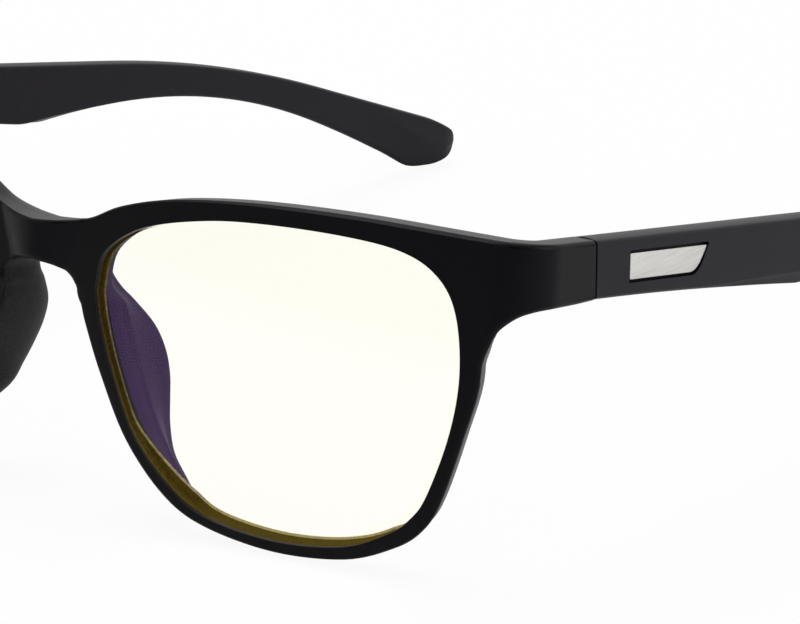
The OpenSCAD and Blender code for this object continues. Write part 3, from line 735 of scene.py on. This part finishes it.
def templeRing(y, shrink=0):
    t = templeShape
    top, low = templeTop(y), templeLow(y, t["elbow"], t["elbowHeight"])
    rear = smooth(*t["rear"], y)
    lowOut = templeLow(y, t["outerElbow"], t["outerHeight"]) + t["facetRear"] * rear
    xo = hingeShape["outer"]
    xi = hingeShape["inner"] + (xo - t["tipThick"] - hingeShape["inner"]) * smooth(t["elbow"], t["tip"], y)
    tall = top - low
    if tall < 2:
        lowOut = low
    r = min(t["topRound"], tall * 0.2)
    e = min(t["edgeRound"] + 0.3 * smooth(60, 95, y), tall * 0.12)
    grow = min(1, max(0, (y - t["facetStart"]) / (t["outerElbow"] - t["facetStart"])))
    facetTall = min(e + t["facetTall"] * grow * (1 - 0.66 * smooth(52, 80, y)), tall * 0.3)
    facetDeep = max(e, facetTall * (0.5 + 1.1 * rear))
    ending = max(0, (y - t["length"] + t["tipRound"]) / t["tipRound"])
    pinch = 1 - 0.4 * (1 - math.sqrt(max(0, 1 - ending ** 2)))
    mid, half = (xo + xi) / 2, (top + low) / 2
    ridge = 0.5 * smooth(120, 136, y) * (1 - 0.7 * smooth(140, 142.9, y))
    ridgeAt = 0.67 - 0.23 * smooth(129, 141.4, y)
    points = []

    def add(x, z):
        x = mid + (x - mid) * pinch
        points.append((x - math.copysign(shrink, x - mid), y, z - math.copysign(shrink, z - half)))

    def corner(cx, cz, rx, rz, a0, a1, count):
        for i in range(count):
            a = math.radians(a0 + (a1 - a0) * i / (count - 1))
            add(cx + rx * math.cos(a), cz + rz * math.sin(a))

    flatTop = top - t["crown"] * min(1, tall / 5)
    corner(xi + r * 0.8, flatTop - r * 0.8, r * 0.8, r * 0.8, 180, 100, 5)
    add(mid - 0.5, top)
    add(mid + 0.5, top)
    corner(xo - r, flatTop - r, r, r, 80, 0, 6)
    add(xo, top - tall * 0.35)
    add(xo, lowOut + facetTall + (tall * 0.65 - facetTall) * 0.5)
    add(xo, lowOut + facetTall + 0.12)
    add(xo - 0.03, lowOut + facetTall)
    add(xo - 0.1 - facetDeep * 0.04, lowOut + facetTall - 0.12)
    add(xo - facetDeep * 0.5, lowOut + facetTall * 0.5)
    add(xo - facetDeep + 0.1, lowOut + 0.12)
    add(xo - facetDeep - 0.12, lowOut)
    add(xi + (xo - facetDeep - xi) * 0.45, low + (lowOut - low) * 0.45)
    corner(xi + e, low + e, e, e, 270, 180, 5)
    add(xi, low + max(tall * 0.16, e))
    add(xi - ridge * 0.94, low + tall * (ridgeAt - 0.025))
    add(xi - ridge, low + tall * ridgeAt)
    add(xi - ridge * 0.94, low + tall * (ridgeAt + 0.025))
    add(xi, top - max(tall * 0.14, r * 0.8 + top - flatTop))
    return points


def makeTemple(side):
    t = templeShape
    stations = ([i * 2.1 for i in range(1, 20)] + t["elbowStations"]
                + [52.8 + i * 2.4 for i in range(1, 30)] + t["tipStations"])
    rings = [[(x, splitAt(z, 1) + lift, z) for x, y, z in templeRing(0, shrink)]
             for lift, shrink in ((0, 0.05), (0.05, 0), (0.3, 0))]
    rings.append([(x, 2.1 + splitAt(z, 1) * 0.3, z) for x, y, z in templeRing(2.1)])
    rings += [templeRing(y) for y in stations[1:]]
    temple = loft("temple" + side, rings)
    closeEnds(temple, rings)
    finishMesh(temple, placeArm)
    return temple


# a box cutter in the hinge's own frame
def hingeBox(low, high):
    bpy.ops.object.select_all(action="DESELECT")
    bpy.ops.mesh.primitive_cube_add(size=1)
    box = bpy.context.active_object
    for vert in box.data.vertices:
        x, y, z = (a if c < 0 else b for a, b, c in zip(low, high, vert.co))
        vert.co = placeArm(x, y, z)
    return box


badgeShape = {
    "start": 7.6, "length": 17.45, "height": 3.3, "lift": 0.14, "slant": 2.9, "thick": 0.8, "proud": -0.06,
    "gap": 0.38, "bevel": 0.12,
}


def badgeOutline(grow):
    b = badgeShape
    h = b["height"] / 2 + grow
    y0, y1, mid = b["start"] - grow * 0.6, b["start"] + b["length"] + grow, b["lift"]
    corners = [(y0 + 0.27, mid - h, 0.22), (y0 - 0.2, mid + h, 0.22), (y1, mid + h, 0.35),
               (y1 - 0.48 * b["slant"], mid - 0.5 * h, 0.74), (y1 - 0.95 * b["slant"], mid - h, 0.66)]
    points = []
    for i, (y, z, r) in enumerate(corners):
        a, c = Vector(corners[i - 1][:2]), Vector(corners[(i + 1) % 5][:2])
        here = Vector((y, z))
        toA, toC = (a - here).normalized(), (c - here).normalized()
        for k in range(6):
            u = k / 5
            p = here + toA * r * (1 - u) ** 2 + toC * r * u ** 2
            points.append((p.x, p.y))
    return points


def badgePrism(name, grow, low, high, bevel):
    rings = [[(low, y, z) for y, z in badgeOutline(grow)]]
    if bevel:
        rings.append([(high - bevel, y, z) for y, z in badgeOutline(grow)])
        rings.append([(high - bevel * 0.3, y, z) for y, z in badgeOutline(grow - bevel * 0.3)])
        rings.append([(high, y, z) for y, z in badgeOutline(grow - bevel)])
    else:
        rings.append([(high, y, z) for y, z in badgeOutline(grow)])
    prism = loft(name, rings)
    closeEnds(prism, rings)
    finishMesh(prism, placeArm)
    return prism


# finishes
def newMaterial(name):
    material = bpy.data.materials.new(name)
    material.use_nodes = True
    return material, material.node_tree.nodes, material.node_tree.links


# the nodes that every grained finish has: its two tones, its gloss and its relief
def grainNodes(nodes, links, tones, tonesEnd, rough, bump, height):
    tone = nodes.new("ShaderNodeValToRGB")
    for stop, place, colour in zip(tone.color_ramp.elements, (0.3, tonesEnd), tones):
        stop.position = place
        stop.color = (*colour, 1)
    gloss = nodes.new("ShaderNodeMapRange")
    gloss.inputs["To Min"].default_value, gloss.inputs["To Max"].default_value = rough
    relief = nodes.new("ShaderNodeBump")
    relief.inputs["Strength"].default_value = bump
    relief.inputs["Distance"].default_value = height
    shader = nodes["Principled BSDF"]
    links.new(tone.outputs["Color"], shader.inputs["Base Color"])
    links.new(gloss.outputs["Result"], shader.inputs["Roughness"])
    links.new(relief.outputs["Normal"], shader.inputs["Normal"])
    return tone, gloss, relief


def mouldedPlastic(name, dark, light, rough, grain, bump, specular, paintedLightHeights=None, tint=(1, 1, 1)):
    material, nodes, links = newMaterial(name)
    coords = nodes.new("ShaderNodeTexCoord")
    fine = nodes.new("ShaderNodeTexNoise")
    fine.inputs["Scale"].default_value = grain
    fine.inputs["Detail"].default_value = 3
    cloud = nodes.new("ShaderNodeTexNoise")
    cloud.inputs["Scale"].default_value = 90
    cloud.inputs["Detail"].default_value = 2
    tone, gloss, relief = grainNodes(nodes, links, (dark, light), 0.75, rough, bump, 0.00004)
    links.new(coords.outputs["Object"], fine.inputs["Vector"])
    links.new(coords.outputs["Object"], cloud.inputs["Vector"])
    shade = fine.outputs["Fac"]
    if paintedLightHeights:   # painted light: the tone also changes with the height, paler lower down
        axes = nodes.new("ShaderNodeSeparateXYZ")
        paintedLight = nodes.new("ShaderNodeMapRange")
        paintedLight.inputs["From Min"].default_value, paintedLight.inputs["From Max"].default_value = paintedLightHeights
        paintedLight.inputs["To Min"].default_value = -0.2
        paintedLight.inputs["To Max"].default_value = 0.25
        total = nodes.new("ShaderNodeMath")
        links.new(coords.outputs["Object"], axes.inputs["Vector"])
        links.new(axes.outputs["Z"], paintedLight.inputs["Value"])
        links.new(paintedLight.outputs["Result"], total.inputs[0])
        links.new(shade, total.inputs[1])
        shade = total.outputs[0]
    links.new(shade, tone.inputs["Fac"])
    links.new(cloud.outputs["Fac"], gloss.inputs["Value"])
    links.new(fine.outputs["Fac"], relief.inputs["Height"])
    shader = nodes["Principled BSDF"]
    shader.inputs["Specular IOR Level"].default_value = specular
    shader.inputs["Specular Tint"].default_value = (*tint, 1)
    return material


def workedMetal(name, dark, light, rough, stretch):
    material, nodes, links = newMaterial(name)
    nodes["Principled BSDF"].inputs["Metallic"].default_value = 1
    coords = nodes.new("ShaderNodeTexCoord")
    turn = nodes.new("ShaderNodeMapping")
    turn.inputs["Scale"].default_value = stretch
    lines = nodes.new("ShaderNodeTexNoise")
    lines.inputs["Scale"].default_value = 1
    lines.inputs["Detail"].default_value = 4
    tone, gloss, relief = grainNodes(nodes, links, (dark, light), 0.7, rough, 0.15, 0.00002)
    links.new(coords.outputs["Object"], turn.inputs["Vector"])
    links.new(turn.outputs["Vector"], lines.inputs["Vector"])
    for socket in (tone.inputs["Fac"], gloss.inputs["Value"], relief.inputs["Height"]):
        links.new(lines.outputs["Fac"], socket)
    return material


glassLook = {
    "tint": (1, 1, 0.9), "ior": 1.1, "shadow": (0.97, 0.97, 0.92), "gleam": (0.026, 0.003, 0.058),
}


def lensGlass(name, gleam):
    material, nodes, links = newMaterial(name)
    shader = nodes["Principled BSDF"]
    shader.inputs["Base Color"].default_value = (*glassLook["tint"], 1)
    shader.inputs["Roughness"].default_value = 0.0
    shader.inputs["IOR"].default_value = glassLook["ior"]
    shader.inputs["Transmission Weight"].default_value = 1
    path = nodes.new("ShaderNodeLightPath")
    clear = nodes.new("ShaderNodeBsdfTransparent")
    clear.inputs["Color"].default_value = (*glassLook["shadow"], 1)
    mix = nodes.new("ShaderNodeMixShader")
    glass = shader.outputs["BSDF"]
    if gleam:   # the purple gleam of the coating
        coat = nodes.new("ShaderNodeBsdfGlossy")
        coat.inputs["Color"].default_value = (*gleam, 1)
        coat.inputs["Roughness"].default_value = 0.0
        both = nodes.new("ShaderNodeAddShader")
        links.new(glass, both.inputs[0])
        links.new(coat.outputs["BSDF"], both.inputs[1])
        glass = both.outputs["Shader"]
    links.new(path.outputs["Is Shadow Ray"], mix.inputs["Fac"])
    links.new(glass, mix.inputs[1])
    links.new(clear.outputs["BSDF"], mix.inputs[2])
    links.new(mix.outputs["Shader"], nodes["Material Output"].inputs["Surface"])
    return material


edgePaintedLightHeights = (0.017, 0.0035)   # painted light: the lens's ground edge grows paler between these heights, downwards
frameBlack = mouldedPlastic("satinFrameBlack", (0.0012, 0.0011, 0.0014), (0.0025, 0.0023, 0.0028), (0.33, 0.41),
                            5200, 0.3, 0.125, tint=(0.92, 0.88, 1))
templeBlack = mouldedPlastic("satinTempleBlack", (0.0058, 0.0046, 0.0074), (0.0105, 0.0083, 0.0132), (0.4, 0.48),
                             5200, 0.3, 0.14)
padGrey = mouldedPlastic("grainyPadGrey", (0.0085, 0.0077, 0.009), (0.0205, 0.0186, 0.0215), (0.5, 0.64),
                         3800, 0.8, 0.14)
# the lens edge and its rear facet carry painted light: their tone grows paler towards the bottom
lensEdge = mouldedPlastic("groundLensEdge", (0.05, 0.027, 0.0003), (0.135, 0.095, 0.008), (0.45, 0.6),
                          2600, 0.3, 0.05, edgePaintedLightHeights)
lensFacet = mouldedPlastic("lensRearFacet", (0.15, 0.12, 0.06), (0.62, 0.52, 0.2), (0.4, 0.55),
                           2600, 0.2, 0.2, edgePaintedLightHeights)
hingeSteel = workedMetal("hingeSteel", (0.28, 0.28, 0.3), (0.5, 0.5, 0.52), (0.25, 0.42), (900, 900, 5200))
screwSteel = workedMetal("screwSteel", (0.4, 0.4, 0.42), (0.66, 0.66, 0.68), (0.2, 0.35), (3000, 3000, 3000))
coreWire = workedMetal("coreWire", (0.4, 0.4, 0.41), (0.6, 0.6, 0.62), (0.25, 0.4), (3000, 300, 3000))
badgeSilver = workedMetal("brushedBadge", (0.62, 0.61, 0.59), (0.74, 0.73, 0.71), (0.3, 0.42), (1500, 140, 5200))
lensClear = lensGlass("lensFront", None)
lensCoated = lensGlass("lensCoated", glassLook["gleam"])
print("finishes made")

front = makeFront()
pocket = hingeBox(*hingeShape["pocket"])
cutWith(front, [pocket, otherSide(pocket, "pocketRight")])
smoothShade(front, 32)
front.data.materials.clear()
front.data.materials.append(frameBlack)
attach(front, "front")
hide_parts("frame_front")

lensLeft = makeLens("Left")
lensRight = otherSide(lensLeft, "lensRight")
for lens, node in ((lensLeft, "lens_left"), (lensRight, "lens_right")):
    smoothShade(lens, 25)
    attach(lens, "front")
    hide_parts(node)
print("lenses made")

padLeft = makePad("Left")
padRight = otherSide(padLeft, "nosePadRight")
for pad, node in ((padLeft, "nose_pad_left"), (padRight, "nose_pad_right")):
    pad.data.materials.clear()
    pad.data.materials.append(padGrey)
    smoothShade(pad, 50)
    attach(pad, "front")
    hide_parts(node)
print("pads made")

templeLeft = makeTemple("Left")
badgeBack = hingeShape["outer"] - badgeShape["thick"] + badgeShape["proud"]
cutWith(templeLeft, [
    hingeBox(*hingeShape["pocket"]),
    badgePrism("badgeRecess", badgeShape["gap"], badgeBack, hingeShape["outer"] + 1, 0)])
templeRight = otherSide(templeLeft, "templeRight")
badgeFace = hingeShape["outer"] + badgeShape["proud"]
badgeLeft = badgePrism("templeBadgeLeft", 0, badgeBack, badgeFace, badgeShape["bevel"])
badgeRight = otherSide(badgeLeft, "templeBadgeRight")
for temple, badge, side in ((templeLeft, badgeLeft, "left"), (templeRight, badgeRight, "right")):
    for piece, finish, node, slot in ((temple, templeBlack, "temple_" + side, "temple_black"),
                                      (badge, badgeSilver, "temple_badge_" + side, "badge_silver")):
        piece.data.materials.clear()
        piece.data.materials.append(finish)
        smoothShade(piece, 32)
        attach(piece, side + "_temple")
        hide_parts(node)
print("temples made")

# the kept CAD pieces: the first start of a name that fits gives the finish
metals = {"hinge_screw": screwSteel, "hinge": hingeSteel, "front_leaf": screwSteel, "temple_leaf": screwSteel,
          "temple_core": coreWire}
for name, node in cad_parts.items():
    for start, material in metals.items():
        if name.startswith(start):
            node.data.materials.clear()
            node.data.materials.append(material)
            break

# floor, light and camera
studio = {
    "ambient": 0.45, "floorWhite": 0.93, "floorTone": 0.95, "frontDim": 0.05,
    # each lamp: place, target, size, power
    "lamps": {"topSoftbox": ((-0.22, 0.1, 0.75), (0.0, 0.02, 0.03), (0.7, 0.5), 3.4),
              "sideSoftbox": ((0.75, 0.2, 0.35), (0.05, 0.0, 0.03), (0.4, 0.4), 1.2)},
}


def rayKinds(nodes, links, names):
    path = nodes.new("ShaderNodeLightPath")
    total = path.outputs[names[0]]
    for name in names[1:]:
        more = nodes.new("ShaderNodeMath")
        more.operation = "MAXIMUM"
        links.new(total, more.inputs[0])
        links.new(path.outputs[name], more.inputs[1])
        total = more.outputs[0]
    return total


world = bpy.data.worlds.new("studio")
bpy.context.scene.world = world
world.use_nodes = True
nodes, links = world.node_tree.nodes, world.node_tree.links
ambient = nodes["Background"]
ambient.inputs["Color"].default_value = (1, 1, 1, 1)
ambient.inputs["Strength"].default_value = studio["ambient"]
white = nodes.new("ShaderNodeBackground")
white.inputs["Color"].default_value = (1, 1, 1, 1)
mix = nodes.new("ShaderNodeMixShader")
links.new(rayKinds(nodes, links, ["Is Camera Ray", "Is Glossy Ray", "Is Transmission Ray"]), mix.inputs["Fac"])
links.new(ambient.outputs["Background"], mix.inputs[1])
links.new(white.outputs["Background"], mix.inputs[2])
links.new(mix.outputs["Shader"], nodes["World Output"].inputs["Surface"])
# reflections see a dim room in front of the glasses and white paper behind them
toward = nodes.new("ShaderNodeTexCoord")
axes = nodes.new("ShaderNodeSeparateXYZ")
fade = nodes.new("ShaderNodeMapRange")
fade.interpolation_type = "SMOOTHSTEP"
fade.inputs["From Min"].default_value = -1
fade.inputs["From Max"].default_value = 0.5
fade.inputs["To Min"].default_value = studio["frontDim"]
fade.inputs["To Max"].default_value = 1
glossyOnly = nodes.new("ShaderNodeMapRange")
links.new(toward.outputs["Generated"], axes.inputs["Vector"])
links.new(axes.outputs["Y"], fade.inputs["Value"])
links.new(rayKinds(nodes, links, ["Is Glossy Ray"]), glossyOnly.inputs["Value"])
glossyOnly.inputs["To Min"].default_value = 1
links.new(fade.outputs["Result"], glossyOnly.inputs["To Max"])
links.new(glossyOnly.outputs["Result"], white.inputs["Strength"])

bpy.ops.object.select_all(action="DESELECT")
bpy.ops.mesh.primitive_plane_add(size=8, location=(0, 0, -0.0001))
floor = bpy.context.active_object
floor.name = "floor"
paper, nodes, links = newMaterial("paleFloor")
shader = nodes["Principled BSDF"]
shader.inputs["Base Color"].default_value = (studio["floorTone"],) * 3 + (1,)
shader.inputs["Roughness"].default_value = 0.9
shader.inputs["Specular IOR Level"].default_value = 0
glow = nodes.new("ShaderNodeEmission")
glow.inputs["Color"].default_value = (1, 1, 1, 1)
share = nodes.new("ShaderNodeMath")
share.operation = "MULTIPLY"
share.inputs[1].default_value = studio["floorWhite"]
mix = nodes.new("ShaderNodeMixShader")
links.new(rayKinds(nodes, links, ["Is Camera Ray", "Is Transmission Ray"]), share.inputs[0])
links.new(share.outputs[0], mix.inputs["Fac"])
links.new(shader.outputs["BSDF"], mix.inputs[1])
links.new(glow.outputs["Emission"], mix.inputs[2])
links.new(mix.outputs["Shader"], nodes["Material Output"].inputs["Surface"])
floor.data.materials.append(paper)


def softbox(name, place, target, size, power):
    lamp = bpy.data.lights.new(name, "AREA")
    lamp.shape = "RECTANGLE"
    lamp.size, lamp.size_y = size
    lamp.energy = power
    box = bpy.data.objects.new(name, lamp)
    bpy.context.scene.collection.objects.link(box)
    box.location = place
    box.rotation_euler = (Vector(target) - Vector(place)).to_track_quat("-Z", "Y").to_euler()


for name, settings in studio["lamps"].items():
    softbox(name, *settings)

photoView = {
    "place": (0.402563, -0.510256, 0.199154), "right": (0.78102, 0.62451, -0.00112),
    "back": (0.59868, -0.74821, 0.28598), "lens": 219.2,
}
right = Vector(photoView["right"]).normalized()
back = Vector(photoView["back"])
back = (back - right * back.dot(right)).normalized()
up = back.cross(right)
camera = bpy.data.objects.new("photoCamera", bpy.data.cameras.new("photoCamera"))
bpy.context.scene.collection.objects.link(camera)
camera.data.lens = photoView["lens"]
camera.data.sensor_width = 36
camera.data.sensor_fit = "HORIZONTAL"
camera.data.clip_start = 0.01
turn = Matrix((right, up, back)).transposed().to_4x4()
camera.matrix_world = Matrix.Translation(photoView["place"]) @ turn
bpy.context.scene.camera = camera

bpy.context.scene.view_settings.view_transform = "Standard"
print("scene ready")
